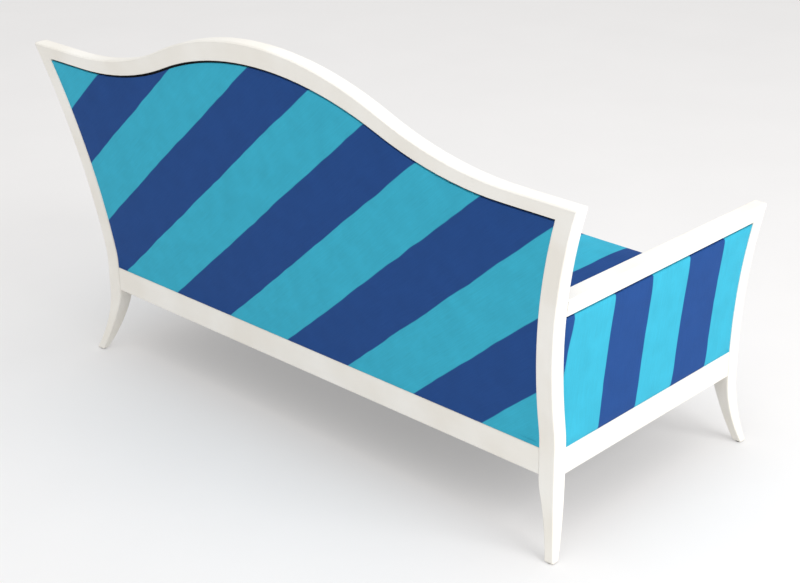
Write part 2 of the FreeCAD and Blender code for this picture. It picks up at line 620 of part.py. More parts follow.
def make_back_webbing():
    """Upright webs tacked to the strips, and level webs before them."""
    uprights = []
    for number in range(BACK_UPRIGHT_WEBS):
        middle = f"2 * inner_x * ({number + 1} / {BACK_UPRIGHT_WEBS + 1} - 0.5)"
        uprights.append(block(f"UprightWeb{number}",
                              (f"{middle} - web_width / 2", "-overall_depth", "rail_bottom"),
                              (f"{middle} + web_width / 2", "overall_depth", "crest_peak")))
    levels = []
    for number in range(BACK_LEVEL_WEBS):
        middle = f"rail_top + (crest_joint - rail_top) * {number + 1} / {BACK_LEVEL_WEBS + 1}"
        levels.append(block(f"LevelWeb{number}",
                            ("-frame_width", "-overall_depth", f"{middle} - web_width / 2"),
                            ("frame_width", "overall_depth", f"{middle} + web_width / 2")))
    opening = back_opening("BackWebFront", "strip_width / 2", "pad_low")
    near = raked_band("UprightWebLayer", "strip_inside", "strip_inside + web_thickness")
    far = raked_band("LevelWebLayer", "strip_inside + web_thickness", "strip_inside + web_stack")
    webs = [common(f"{web.Name}Cut", web, near, opening) for web in uprights]
    webs += [common(f"{web.Name}Cut", web, far, opening) for web in levels]
    return grouped("back_webbing", webs)


# Arm upholstery

def make_arms():
    """Outside cover, board and inside pad in each arm opening."""
    cover_view = arm_opening("ArmCoverSide", "cloth_gap", "rail_top + cloth_gap", "cover_drop")
    board_view = arm_opening("ArmBoardSide", "glue_gap", "rail_top")
    pad_view = arm_opening("ArmPadSide", "cloth_gap", "pad_low")
    cover = common("outside_arm_cover_left", cover_view,
                   flared_band("ArmCoverLayer", "cover_recess", "cover_inside"))
    board = common("arm_board_left", board_view,
                   flared_band("ArmBoardLayer", "cover_inside", "board_inside"))
    pad = common("inside_arm_pad_left", pad_view,
                 flared_band("ArmPadLayer", "board_inside", "post_width + arm_pad_proud"))
    left = [cover, board, pad]
    return left + [mirrored(piece.Name.replace("left", "right"), piece) for piece in left]


# Seat upholstery

def make_seat():
    """Webbing on the rails, the deck on the webbing, the loose cushion and the dust cover below."""
    web_front = "front_y + rail_inside - web_landing"
    web_rear = "back_y - rail_inside + web_landing"
    cross = []
    for number in range(CROSS_WEBS):
        middle = f"2 * arm_pad_x * ({number + 1} / {CROSS_WEBS + 1} - 0.5)"
        cross.append(block(f"CrossWeb{number}", (f"{middle} - web_width / 2", web_front, "rail_top"),
                           (f"{middle} + web_width / 2", web_rear, "rail_top + web_thickness")))
    reach = "outer_x - rail_inside + web_landing"
    long = []
    for number in range(LONG_WEBS):
        middle = f"{web_front} + ({web_rear} - ({web_front})) * {number + 1} / {LONG_WEBS + 1}"
        long.append(block(f"LongWeb{number}",
                          (f"-({reach})", f"{middle} - web_width / 2", "rail_top + web_thickness"),
                          (reach, f"{middle} + web_width / 2", "rail_top + web_stack")))
    deck = block("seat_deck", ("cloth_gap - arm_pad_x", "deck_front", "rail_top + web_stack"),
                 ("arm_pad_x - cloth_gap", "back_pad_y - cloth_gap", "deck_top - cloth_gap"))
    return [grouped("seat_webbing_cross", cross), grouped("seat_webbing_long", long), deck,
            make_cushion(), make_dust_cover()]


def make_cushion():
    """Loose bench cushion with rounded edges front and rear."""
    front = "deck_front"
    rear = "back_pad_y - cushion_gap"
    near = f"{front} + cushion_round"
    far = f"{rear} - cushion_round"
    low = "deck_top + cushion_round"
    high = "seat_height - cushion_round"
    corners = [(near, "deck_top"), (far, "deck_top"), (rear, low), (rear, high), (far, "seat_height"),
               (near, "seat_height"), (front, high), (front, low)]
    arcs = {edge: ("cushion_round", 1) for edge in (1, 3, 5, 7)}
    return sawn("seat_cushion", "YZ_Plane", corners, arcs, "2 * (arm_pad_x - cushion_gap)")


def make_dust_cover():
    """Thin cloth under the seat rails, cut back round the four legs."""
    wide = "outer_x - dust_margin"
    narrow = "inner_x - dust_margin"
    rear = "back_y - dust_margin"
    front = "front_y + dust_margin"
    rear_leg = "back_y - post_depth - dust_margin"
    front_leg = "front_y + front_depth + dust_margin"
    right = [(narrow, front), (narrow, front_leg), (wide, front_leg), (wide, rear_leg), (narrow, rear_leg),
             (narrow, rear)]
    corners = right + [(f"-({across})", up) for across, up in right[::-1]]
    body = doc.addObject("PartDesign::Body", "dust_cover")
    pad = body.newObject("PartDesign::Pad", "DustCoverPad")
    pad.Profile = outline(body, "XY_Plane", corners, {})
    pad.setExpression("Length", cells("dust_thickness"))
    body.setExpression("Placement.Base.z", cells("rail_bottom - dust_thickness"))
    return body


def make_glides():
    """A glide under each foot."""
    glides = []
    middles = {"rear": "rear_foot - foot_depth / 2", "front": "front_foot + foot_depth / 2"}
    for place, middle in middles.items():
        glide = doc.addObject("Part::Cone", f"glide_{place}_left")
        glide.setExpression("Radius1", cells("glide_radius - glide_taper"))
        glide.setExpression("Radius2", cells("glide_radius"))
        glide.setExpression("Height", cells("glide_height"))
        glide.setExpression("Placement.Base.x", cells("foot_outer - foot_width / 2"))
        glide.setExpression("Placement.Base.y", cells(middle))
        glides += [glide, mirrored(f"glide_{place}_right", glide)]
    return glides


def check_and_write(pieces):
    """Stop on any failed object, then write one file for each piece."""
    doc.recompute()
    failed = [item.Name for item in doc.Objects if {"Invalid", "Error"} & set(item.State)]
    failed += [piece.Name for piece in pieces if piece.Shape.isNull() or not piece.Shape.isValid()]
    if failed:
        raise RuntimeError("failed objects: " + ", ".join(failed))
    os.makedirs("parts", exist_ok=True)
    for piece in pieces:
        piece.Label = piece.Name
        piece.Shape.exportStep(f"parts/{piece.Label}.step")
        print(f"{piece.Label}: {len(piece.Shape.Solids)} solids, {piece.Shape.Volume / 1000:.1f} cm3")


check_and_write(make_posts() + make_crest() + make_arm_rails() + make_seat_frame() + make_back()
                + make_arms() + make_seat() + make_glides())
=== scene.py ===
# %% [markdown]
# # A camelback settee seen from behind
# The wooden frame comes from the CAD model and stays as it is. This script dresses it: it stretches
# the striped cloth over the back and the arms, stuffs the seat, gives each surface its finish, and
# sets the floor, the light and the camera. Everything is in metres, in the CAD model's own frame.

import json
import math

import bpy
import numpy as np
from mathutils import Matrix, Vector


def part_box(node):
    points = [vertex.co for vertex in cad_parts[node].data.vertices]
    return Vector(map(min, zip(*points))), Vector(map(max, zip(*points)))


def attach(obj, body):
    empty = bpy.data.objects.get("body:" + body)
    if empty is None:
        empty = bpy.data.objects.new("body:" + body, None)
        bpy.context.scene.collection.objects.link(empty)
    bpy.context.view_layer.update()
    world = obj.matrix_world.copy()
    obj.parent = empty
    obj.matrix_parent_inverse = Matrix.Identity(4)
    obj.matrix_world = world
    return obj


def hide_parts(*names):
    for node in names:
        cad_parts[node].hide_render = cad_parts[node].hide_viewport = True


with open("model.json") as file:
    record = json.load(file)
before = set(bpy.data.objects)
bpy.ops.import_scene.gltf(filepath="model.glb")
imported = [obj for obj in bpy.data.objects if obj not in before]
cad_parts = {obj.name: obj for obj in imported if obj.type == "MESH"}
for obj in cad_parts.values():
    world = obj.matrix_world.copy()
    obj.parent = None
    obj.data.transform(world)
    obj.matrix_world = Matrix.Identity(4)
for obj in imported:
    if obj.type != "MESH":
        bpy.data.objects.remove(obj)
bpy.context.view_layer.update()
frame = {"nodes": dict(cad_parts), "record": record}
bpy.ops.object.select_all(action="DESELECT")

# %% [markdown]
# ## Colours and nodes
# Colours are written as sRGB hex values, as a paint shop would give them, and one function turns them
# into the linear values that the shader needs. One more function adds a node to a material, so that
# each material below reads as a list of what the real surface is made of.


# %% Colour and node helpers
def paint(code):
    """Linear colour of an sRGB hex value such as F4F1EA."""
    shares = [int(code[place:place + 2], 16) / 255 for place in (0, 2, 4)]
    return tuple(s / 12.92 if s <= 0.04045 else ((s + 0.055) / 1.055) ** 2.4 for s in shares) + (1.0,)


def add(material, kind, inputs=(), **settings):
    """Adds a node to a material; inputs are values or the sockets that feed them."""
    node = material.node_tree.nodes.new("ShaderNode" + kind)
    for name, setting in settings.items():
        setattr(node, name, setting)
    for key, source in dict(inputs).items():
        if isinstance(source, bpy.types.NodeSocket):
            material.node_tree.links.new(source, node.inputs[key])
        else:
            node.inputs[key].default_value = source
    return node


def new_material(name):
    """Empty material with its output."""
    material = bpy.data.materials.new(name)
    material.use_nodes = True
    material.node_tree.nodes.clear()
    return material, add(material, "OutputMaterial")


def dress(piece, material):
    """Gives a piece one material all over."""
    piece.data.materials.clear()
    piece.data.materials.append(material)
    for face in piece.data.polygons:
        face.material_index = 0


MM = 0.001

# %% [markdown]
# ## White lacquer on hardwood
# The posts and rails are sprayed with a warm white satin lacquer. Such a film is never quite even: it
# follows the grain a little, has the fine ripple called orange peel, and yellows in soft patches. The
# grain runs along each piece, so the same recipe is used for pieces that run along X, Y and Z.
#
# A sprayed edge is never sharp. The Bevel node rounds the light on it without more faces. Where the
# crest and the arms are glued to the posts, the joint was filled before spraying and doesn't show, so
# there the plain normal takes over.


# %% Lacquer
GLUED_JOINTS = [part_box("crest_rail")[0].z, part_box("arm_rail_right")[0].z]    # heights of the filled joints
FILLED = 7 * MM         # the filler reaches this far above and below a joint
EDGE_ROUND = 4 * MM


def satin_lacquer(name, along):
    """Warm white satin lacquer over hardwood whose grain runs along one axis."""
    # To the eye: a soft broad highlight, a trace of grain and ripple, cream in patches
    material, output = new_material(name)
    place = add(material, "TexCoord").outputs["Object"]
    grain_length, grain_width = 260 * MM, 5 * MM
    stretch = [1 / grain_width] * 3
    stretch["XYZ".index(along)] = 1 / grain_length
    grain_place = add(material, "Mapping", {"Vector": place, "Scale": stretch})
    grain = add(material, "TexNoise", {"Vector": grain_place.outputs["Vector"], "Scale": 1.0, "Detail": 3.0})
    patch_size, peel_size = 170 * MM, 2.2 * MM
    patches = add(material, "TexNoise", {"Vector": place, "Scale": 1 / patch_size, "Detail": 2.0})
    peel = add(material, "TexNoise", {"Vector": place, "Scale": 1 / peel_size, "Detail": 1.0})
    tint = add(material, "ValToRGB", {"Fac": patches.outputs["Fac"]})
    tint.color_ramp.elements[0].position = 0.35
    tint.color_ramp.elements[0].color = paint("F1EDE4")
    tint.color_ramp.elements[1].position = 0.65
    tint.color_ramp.elements[1].color = paint("F8F6F0")
    gloss = add(material, "MapRange", {"Value": patches.outputs["Fac"], "To Min": 0.30, "To Max": 0.42})
    relief = add(material, "Math", {0: grain.outputs["Fac"], 1: peel.outputs["Fac"]}, operation="ADD")
    rounded = add(material, "Bevel", {"Radius": EDGE_ROUND}, samples=6).outputs["Normal"]
    plain = add(material, "NewGeometry").outputs["Normal"]
    height = add(material, "SeparateXYZ", {"Vector": place}).outputs["Z"]
    for joint in GLUED_JOINTS:
        beside = add(material, "Math", {0: height, 1: joint, 2: FILLED}, operation="COMPARE").outputs["Value"]
        mixed = add(material, "Mix", {"Factor": beside, 4: rounded, 5: plain}, data_type="VECTOR")
        rounded = mixed.outputs[1]
    bump = add(material, "Bump", {"Height": relief.outputs["Value"], "Strength": 0.25, "Distance": 0.2 * MM,
                                  "Normal": rounded})
    shader = add(material, "BsdfPrincipled", {
        "Base Color": tint.outputs["Color"], "Roughness": gloss.outputs["Result"], "IOR": 1.5,
        "Normal": bump.outputs["Normal"], "Coat Weight": 0.15, "Coat Roughness": 0.25})
    material.node_tree.links.new(shader.outputs["BSDF"], output.inputs["Surface"])
    return material


lacquer = {along: satin_lacquer(f"satin_lacquer_grain_{along}", along) for along in "XYZ"}
for node_name, node in frame["nodes"].items():
    if "post" in node_name:
        dress(node, lacquer["Z"])
    elif node_name.startswith(("arm_rail", "side_seat_rail")):
        dress(node, lacquer["Y"])
    elif node_name in ("crest_rail", "rear_seat_rail", "front_seat_rail"):
        dress(node, lacquer["X"])
print("lacquered:", sorted(n for n, o in frame["nodes"].items() if o.data.materials[0] in lacquer.values()))

# %% [markdown]
# ## Striped cotton
# The cloth is a smooth cotton with two wide stripes, turquoise and blue. On the outside back it was cut
# on the bias, so its stripes slant; on the arms they stand almost upright, and on the seat they run
# from front to back. A stripe is a plane in space here: one dot product says how many stripes a point
# lies from the first edge, and the part after the decimal point picks the colour. The edges wander by
# a millimetre or two, as in the photograph, because stuffed cloth never lies quite straight.

# %% Cloth
STRIPE = 143 * MM
THREAD = 1.5 * MM    # real threads are near 0.5 mm; drawn wider so that a close view shows them


def striped_cotton(name, across, start, along):
    """Two-colour striped cotton: across is the way over the stripes in stripes per metre, start the
    place of the first edge in stripes, along the way of the threads that run with the stripes."""
    # To the eye: matt, even colour with slightly uneven threads and shallow hollows in the stuffing
    material, output = new_material(name)
    place = add(material, "TexCoord").outputs["Object"]
    wander_size, wander = 90 * MM, 0.022
    drift = add(material, "TexNoise", {"Vector": place, "Scale": 1 / wander_size, "Detail": 1.0})
    drift = add(material, "MapRange", {"Value": drift.outputs["Fac"], "To Min": -wander, "To Max": wander})
    count = add(material, "VectorMath", {0: place, 1: across}, operation="DOT_PRODUCT")
    count = add(material, "Math", {0: count.outputs["Value"], 1: start}, operation="ADD")
    count = add(material, "Math", {0: count.outputs["Value"], 1: drift.outputs["Result"]}, operation="ADD")
    pair = add(material, "Math", {0: count.outputs["Value"], 1: 0.5}, operation="MULTIPLY")
    pair = add(material, "Math", {0: pair.outputs["Value"]}, operation="FRACT")
    stripe = add(material, "ValToRGB", {"Fac": pair.outputs["Value"]})
    turquoise, blue = paint("3AB2CF"), paint("204A8B")
    ramp = stripe.color_ramp.elements
    ramp[0].position, ramp[0].color = 0.0, turquoise
    ramp[1].position, ramp[1].color = 1.0, turquoise
    # One pair of stripes fills the ramp from 0 to 1, and each edge between them is a little soft
    for position, colour in ((0.496, turquoise), (0.504, blue), (0.992, blue)):
        ramp.new(position).color = colour

    # Slubs: threads that are a little thicker or thinner, long with the stripe and narrow across it
    slub_length, slub_width = 70 * MM, 2.5 * MM
    with_stripe = Vector(along).normalized()
    over_stripe = Vector(across).normalized()
    ways = [(with_stripe, 1 / slub_length), (over_stripe, 1 / slub_width)]
    slub_axes = [add(material, "VectorMath", {0: place, 1: tuple(way * scale)}, operation="DOT_PRODUCT")
                 for way, scale in ways]
    slub_place = add(material, "CombineXYZ", {0: slub_axes[0].outputs["Value"],
                                              1: slub_axes[1].outputs["Value"]})
    slubs = add(material, "TexNoise", {"Vector": slub_place.outputs["Vector"], "Scale": 1.0, "Detail": 2.0})
    mottle_size = 55 * MM
    mottle = add(material, "TexNoise", {"Vector": place, "Scale": 1 / mottle_size, "Detail": 3.0})
    shade = add(material, "Math", {0: slubs.outputs["Fac"], 1: mottle.outputs["Fac"]}, operation="ADD")
    shade = add(material, "MapRange", {"Value": shade.outputs["Value"], "From Min": 0.6, "From Max": 1.4,
                                       "To Min": 0.90, "To Max": 1.08})
    colour = add(material, "VectorMath", {0: stripe.outputs["Color"], "Scale": shade.outputs["Result"]},
                 operation="SCALE")

    # Plain weave: one thread over, one under, in both directions
    turns = 2 * math.pi / THREAD
    waves = []
    for way in (with_stripe, over_stripe):
        phase = add(material, "VectorMath", {0: place, 1: tuple(way * turns)}, operation="DOT_PRODUCT")
        waves.append(add(material, "Math", {0: phase.outputs["Value"]}, operation="SINE"))
    weave = add(material, "Math", {0: waves[0].outputs["Value"], 1: waves[1].outputs["Value"]},
                operation="MULTIPLY")
    thread_height = 0.15 * MM
    threads = add(material, "Bump", {"Height": weave.outputs["Value"], "Strength": 0.35,
                                     "Distance": thread_height})

    # Soft hollows where the wadding under the cloth is thinner
    hollow_size, hollow_depth = 75 * MM, 1.6 * MM
    hollows = add(material, "TexNoise", {"Vector": place, "Scale": 1 / hollow_size, "Detail": 1.0})
    bump = add(material, "Bump", {"Height": hollows.outputs["Fac"], "Strength": 0.5, "Distance": hollow_depth,
                                  "Normal": threads.outputs["Normal"]})
    shader = add(material, "BsdfPrincipled", {
        "Base Color": colour.outputs["Vector"], "Roughness": 0.85, "IOR": 1.45, "Specular IOR Level": 0.2,
        "Normal": bump.outputs["Normal"], "Sheen Weight": 0.02, "Sheen Roughness": 0.4})
    material.node_tree.links.new(shader.outputs["BSDF"], output.inputs["Surface"])
    return material


rear_rail_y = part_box("rear_seat_rail")[1].y
BIAS = 1.192               # height for each metre along the back, from the slant of its stripes
BIAS_PITCH = 219.6 * MM    # a stripe measured level along the back
BACK_EDGE_X, BACK_EDGE_Z = 24.4 * MM, 300 * MM    # a point on the first edge of the back's stripes
back_start = -(BACK_EDGE_X + BACK_EDGE_Z * BIAS) / BIAS_PITCH
back_cotton = striped_cotton("striped_cotton_bias", (1 / BIAS_PITCH, 0, BIAS / BIAS_PITCH), back_start,
                             (-BIAS, 0, 1))
ARM_LEAN = 0.032           # the arm's stripes lean forward by this share of the height
ARM_PITCH = 143.5 * MM
ARM_EDGE_Y, ARM_EDGE_Z = -441 * MM, 270 * MM      # a point on the arm's first edge, from the rear rail
arm_start = -(rear_rail_y + ARM_EDGE_Y + ARM_EDGE_Z * ARM_LEAN) / ARM_PITCH
arm_cotton = striped_cotton("striped_cotton_upright", (0, 1 / ARM_PITCH, ARM_LEAN / ARM_PITCH), arm_start,
                            (0, -ARM_LEAN, 1))
SEAT_EDGE_X = -472 * MM    # the first edge of the seat's stripes
seat_cotton = striped_cotton("striped_cotton_front_to_back", (1 / STRIPE, 0, 0), -SEAT_EDGE_X / STRIPE,
                             (0, 1, -1))
print("cloths:", back_cotton.name, arm_cotton.name, seat_cotton.name)

# %% [markdown]
# ## Hidden materials
# Under the cover there is bare sawn wood, jute webbing and black dust cloth, and the feet stand on
# dull black glides. The tacking strips and arm boards are near black, as painted shade: they make the thin
# dark line of shadow in the gap under the crest and the arms. Each of them gets its own grain or weave.


# %% Plain materials
def plain_fibre(name, light, dark, fibre_size, roughness, relief):
    """Bare fibrous material: two tones of noise, as long, deep and high as its fibres."""
    material, output = new_material(name)
    place = add(material, "TexCoord").outputs["Object"]
    drawn = add(material, "Mapping", {"Vector": place, "Scale": [1 / size for size in fibre_size]})
    fibre = add(material, "TexNoise", {"Vector": drawn.outputs["Vector"], "Scale": 1.0, "Detail": 4.0})
    tone = add(material, "ValToRGB", {"Fac": fibre.outputs["Fac"]})
    tone.color_ramp.elements[0].position, tone.color_ramp.elements[0].color = 0.3, paint(dark)
    tone.color_ramp.elements[1].position, tone.color_ramp.elements[1].color = 0.7, paint(light)
    bump = add(material, "Bump", {"Height": fibre.outputs["Fac"], "Strength": 0.4, "Distance": relief})
    shader = add(material, "BsdfPrincipled", {"Base Color": tone.outputs["Color"], "Roughness": roughness,
                                              "Normal": bump.outputs["Normal"]})
    material.node_tree.links.new(shader.outputs["BSDF"], output.inputs["Surface"])
    return material


# Sawn beech: pinkish brown and dull, with long narrow grain
sawn_beech = plain_fibre("sawn_beech", "CDA77C", "A87F55", (200 * MM, 4 * MM, 4 * MM), 0.7, 0.3 * MM)
# Jute: straw brown, coarse and quite matt
jute = plain_fibre("jute_webbing", "B89A6B", "86693F", [2 * MM] * 3, 0.9, 0.5 * MM)
# Dust cloth: thin black felt that swallows the light
black_cloth = plain_fibre("black_dust_cloth", "26262A", "161618", [3 * MM] * 3, 0.95, 0.2 * MM)
# Nylon: near black with a weak shine from the mould
glide_nylon = plain_fibre("black_nylon_glide", "242424", "181818", [4 * MM] * 3, 0.5, 0.1 * MM)
# Painted shade: pressed black fibres, darker than the shadow round it, so the gaps show a shadow line
painted_shade_board = plain_fibre("painted_shade_fibreboard", "16181C", "0C0D10", [3 * MM] * 3, 0.9, 0.1 * MM)
by_slot = {"inner_wood": sawn_beech, "webbing": jute, "dust_cloth": black_cloth, "glide": glide_nylon}
for part in frame["record"]["subparts"]:
    if part["material_slot"] in by_slot:
        dress(frame["nodes"][part["node"]], by_slot[part["material_slot"]])
# Painted shade: the tacking strips and arm boards go near black to paint the shadow line in the gaps
for node_name, node in frame["nodes"].items():
    if "strip" in node_name or "arm_board" in node_name:
        dress(node, painted_shade_board)
print("plain materials:", sorted(m.name for m in [*by_slot.values(), painted_shade_board]))

# %% [markdown]
# ## Cloth stretched over the back and the arms
# An upholsterer stretches the outside cover over a thin wadding and tacks it inside the frame, so it is
# tight, a little crowned, and turns inwards at its edge. The cover is cut here from the outer face of
# its CAD solid: that face alone is kept, ruled into small squares with the bisect tool, and blown up a
# little as cloth that is pinned round its edge. The crown is then set to a measured height, the edge is
# extruded inwards, and Solidify gives the cloth its thickness. Below the crest and the arms the edge is
# first lowered a little, which leaves the dark gap that the photograph shows there.


# %% Copying and selecting
def fresh_copy(node_name, piece_name):
    """New object with its own merged copy of a CAD node's mesh, selected and active."""
    mesh = frame["nodes"][node_name].data.copy()
    mesh.name = piece_name
    mesh.materials.clear()
    piece = bpy.data.objects.new(piece_name, mesh)
    bpy.context.scene.collection.objects.link(piece)
    bpy.ops.object.select_all(action="DESELECT")
    piece.select_set(True)
    bpy.context.view_layer.objects.active = piece
    bpy.ops.mesh.customdata_custom_splitnormals_clear()
    bpy.ops.object.mode_set(mode="EDIT")
    bpy.ops.mesh.select_all(action="SELECT")
    bpy.ops.mesh.remove_doubles(threshold=0.01 * MM)
    bpy.ops.object.mode_set(mode="OBJECT")
    return piece


def select_faces(piece, wanted):
    """Selects the faces that a rule wants and leaves the piece in edit mode."""
    bpy.ops.object.mode_set(mode="EDIT")
    bpy.ops.mesh.select_mode(type="FACE")
    bpy.ops.mesh.select_all(action="DESELECT")
    bpy.ops.object.mode_set(mode="OBJECT")
    for face in piece.data.polygons:
        face.select = wanted(face)
    bpy.ops.object.mode_set(mode="EDIT")


def points_of(piece):
    """The piece's vertices as an array."""
    flat = np.empty(len(piece.data.vertices) * 3)
    piece.data.vertices.foreach_get("co", flat)
    return flat.reshape(-1, 3)


def move_points(piece, points):
    """Puts the piece's vertices where an array says."""
    piece.data.vertices.foreach_set("co", points.ravel())
    piece.data.update()


# %% Ruling a face into squares
def rule_squares(piece, axes, cell):
    """Cuts the piece with planes across two axes, a cell apart, for cloth that can bend."""
    low, high = points_of(piece).min(0), points_of(piece).max(0)
    bpy.ops.object.mode_set(mode="EDIT")
    for axis in axes:
        normal = [0, 0, 0]
        normal[axis] = 1
        cuts = int((high[axis] - low[axis]) / cell)
        for cut in range(1, cuts + 1):
            place = [0, 0, 0]
            place[axis] = low[axis] + (high[axis] - low[axis]) * cut / (cuts + 1)
            bpy.ops.mesh.select_all(action="SELECT")
            bpy.ops.mesh.bisect(plane_co=place, plane_no=normal)
    bpy.ops.object.mode_set(mode="OBJECT")


def blow_up(piece, pressure, pinned=None, frames=20):
    """Runs a cloth simulation under pressure with no gravity and applies it."""
    bpy.ops.object.modifier_add(type="CLOTH")
    cloth = piece.modifiers[-1]
    cloth.settings.use_pressure = True
    cloth.settings.uniform_pressure_force = pressure
    cloth.settings.effector_weights.gravity = 0
    cloth.settings.tension_stiffness = 30
    cloth.settings.compression_stiffness = 30
    cloth.settings.bending_stiffness = 2
    cloth.point_cache.frame_start = 1
    cloth.point_cache.frame_end = frames
    if pinned:
        cloth.settings.vertex_group_mass = pinned
    for step in range(1, frames + 1):
        bpy.context.scene.frame_set(step)
    bpy.ops.object.modifier_apply(modifier=cloth.name)
    bpy.context.scene.frame_set(1)


# %% Selecting the open edge
def select_open_edge():
    """Selects the edge of the cloth in edit mode, and nothing else."""
    bpy.ops.object.mode_set(mode="EDIT")
    bpy.ops.mesh.select_mode(type="EDGE")
    bpy.ops.mesh.select_all(action="DESELECT")
    bpy.ops.mesh.select_non_manifold(use_wire=False, use_multi_face=False, use_non_contiguous=False,
                                     use_verts=False)


# %% Stretched covers
FACING_OUT = 0.7                   # a face belongs to the outer side if its normal points out this much
FLAT_ENOUGH = math.radians(0.4)    # faces that meet flatter than this are one face
EDGE_RINGS = (4 * MM, 7 * MM)      # narrow rings along the edge, for cloth that turns over it
SHADOW_GAP = 2 * MM                # the upper edge is lowered by this much
GAP_REACH = 9 * MM                 # points this close below the rail, or higher, are the upper edge
EARLY_RISE = 0.45                  # under 1: wadding is almost as thick near the edge


def stretched_cover(name, node_name, outward, cell, crown, tuck, thickness=1.5 * MM, under=None):
    """Tight cover from the outer face of a CAD cover, crowned and turned in at its edge."""
    outward = Vector(outward)
    cover = fresh_copy(node_name, name)
    select_faces(cover, lambda face: face.normal.dot(outward) < FACING_OUT)
    bpy.ops.mesh.delete(type="FACE")
    bpy.ops.mesh.select_all(action="SELECT")
    bpy.ops.mesh.dissolve_limited(angle_limit=FLAT_ENOUGH)
    for ring in EDGE_RINGS:
        bpy.ops.mesh.inset(thickness=ring, use_boundary=True)
    bpy.ops.object.mode_set(mode="OBJECT")
    rule_squares(cover, [axis for axis in range(3) if abs(outward[axis]) < 0.5], cell)
    select_open_edge()
    bpy.ops.object.mode_set(mode="OBJECT")
    edge_points = [vertex.index for vertex in cover.data.vertices if vertex.select]
    cover.vertex_groups.new(name="tacked_edge").add(edge_points, 1.0, "REPLACE")
    flat_area = sum(face.area for face in cover.data.polygons)
    flat = points_of(cover)
    if under:
        upper = [point for point in edge_points if flat[point, 2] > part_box(under)[0].z - GAP_REACH]
        flat[upper, 2] -= SHADOW_GAP
        move_points(cover, flat)
    blow_up(cover, pressure=3.0, pinned="tacked_edge")
    lift = (points_of(cover) - flat) @ np.array(outward)
    rise = np.clip(lift / lift.max(), 0, 1) ** EARLY_RISE
    move_points(cover, flat + np.outer(rise * crown, np.array(outward)))
    select_open_edge()
    bpy.ops.mesh.extrude_edges_move(TRANSFORM_OT_translate={"value": -outward * tuck})
    bpy.ops.mesh.select_all(action="SELECT")
    bpy.ops.mesh.normals_make_consistent(inside=False)
    bpy.ops.object.mode_set(mode="OBJECT")
    whole_area = sum(face.area for face in cover.data.polygons)
    if sum(face.normal.dot(outward) * face.area for face in cover.data.polygons) < 0:
        cover.data.flip_normals()
    bpy.ops.object.modifier_add(type="SOLIDIFY")
    cover.modifiers[-1].thickness = thickness
    cover.modifiers[-1].offset = -1
    bpy.ops.object.modifier_apply(modifier=cover.modifiers[-1].name)
    bpy.ops.object.shade_smooth_by_angle(angle=math.radians(40))
    print(name, "flat", round(flat_area, 3), "m2, with its edge", round(whole_area, 3), "m2, faces",
          len(cover.data.polygons))
    return cover, whole_area


def declare_cover(cover, node_name, cloth):
    """Dresses a cover, ties it to the frame and hides the CAD node it replaces."""
    dress(cover, cloth)
    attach(cover, "frame")
    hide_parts(node_name)


back_cover, back_area = stretched_cover("outside_back_cloth", "outside_back_cover", (0, 1, 0), cell=15 * MM,
                                        crown=5 * MM, tuck=7 * MM, under="crest_rail")
declare_cover(back_cover, "outside_back_cover", back_cotton)
for side, sign in (("left", 1), ("right", -1)):
    arm_node = f"outside_arm_cover_{side}"
    arm_cover, arm_area = stretched_cover(f"outside_arm_cloth_{side}", arm_node, (sign, 0, 0), cell=13 * MM,
                                          crown=12 * MM, tuck=7 * MM, under=f"arm_rail_{side}")
    declare_cover(arm_cover, arm_node, arm_cotton)
dust_cloth, dust_area = stretched_cover("dust_cloth", "dust_cover", (0, 0, -1), cell=45 * MM, crown=3 * MM,
                                        tuck=0.2 * MM, thickness=0.5 * MM)
declare_cover(dust_cloth, "dust_cover", black_cloth)

# %% [markdown]
# ## Stuffed back, arms, deck and seat cushion
# Stuffed pieces have no sharp edge: the cover pulls their corners round and the stuffing lifts their
# middle. Each starts as its CAD solid, remeshed to even squares and smoothed. A piece that has to stay
# clear of others is drawn in a little first, and one that has to fill the frame is let out (a shrink
# below zero). Cloth under pressure then swells it, and a cap keeps each point close to where the CAD
# solid's surface is, so that the cushion still fits between the arms.


# %% Stuffing
def stuffed(name, node_name, voxel, shrink, smooth, pressure, cap):
    """Soft closed piece from a CAD solid: remeshed, drawn in, smoothed and blown up by at most a cap."""
    pad = fresh_copy(node_name, name)
    pad.data.remesh_voxel_size = voxel
    bpy.ops.object.voxel_remesh()
    bpy.ops.object.modifier_add(type="SMOOTH")
    pad.modifiers[-1].factor = 0.5
    pad.modifiers[-1].iterations = smooth
    bpy.ops.object.modifier_apply(modifier=pad.modifiers[-1].name)
    bpy.ops.object.modifier_add(type="DISPLACE")
    pad.modifiers[-1].mid_level = 0
    pad.modifiers[-1].strength = -shrink
    bpy.ops.object.modifier_apply(modifier=pad.modifiers[-1].name)
    start = points_of(pad)
    blow_up(pad, pressure)
    step = points_of(pad) - start
    length = np.linalg.norm(step, axis=1, keepdims=True)
    move_points(pad, start + step * np.minimum(1, cap / np.maximum(length, 1e-9)))
    bpy.ops.object.shade_smooth()
    print(name, "points", len(pad.data.vertices), "moved at most",
          round(float(np.abs(points_of(pad) - start).max() * 1000), 1), "mm")
    return pad


def finish_pad(pad, node_name, body, cloth):
    """Subdivides a pad once, dresses it and ties it to its body."""
    bpy.ops.object.modifier_add(type="SUBSURF")
    pad.modifiers[-1].levels = 1
    pad.modifiers[-1].render_levels = 1
    dress(pad, cloth)
    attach(pad, body)
    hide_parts(node_name)


inside_back = stuffed("inside_back_stuffing", "inside_back_pad", voxel=13 * MM, shrink=-1 * MM, smooth=2,
                      pressure=3.0, cap=4 * MM)
finish_pad(inside_back, "inside_back_pad", "frame", seat_cotton)
for side in ("left", "right"):
    inside_arm = stuffed(f"inside_arm_stuffing_{side}", f"inside_arm_pad_{side}", voxel=11 * MM,
                         shrink=-0.5 * MM, smooth=2, pressure=3.0, cap=4 * MM)
    finish_pad(inside_arm, f"inside_arm_pad_{side}", "frame", arm_cotton)

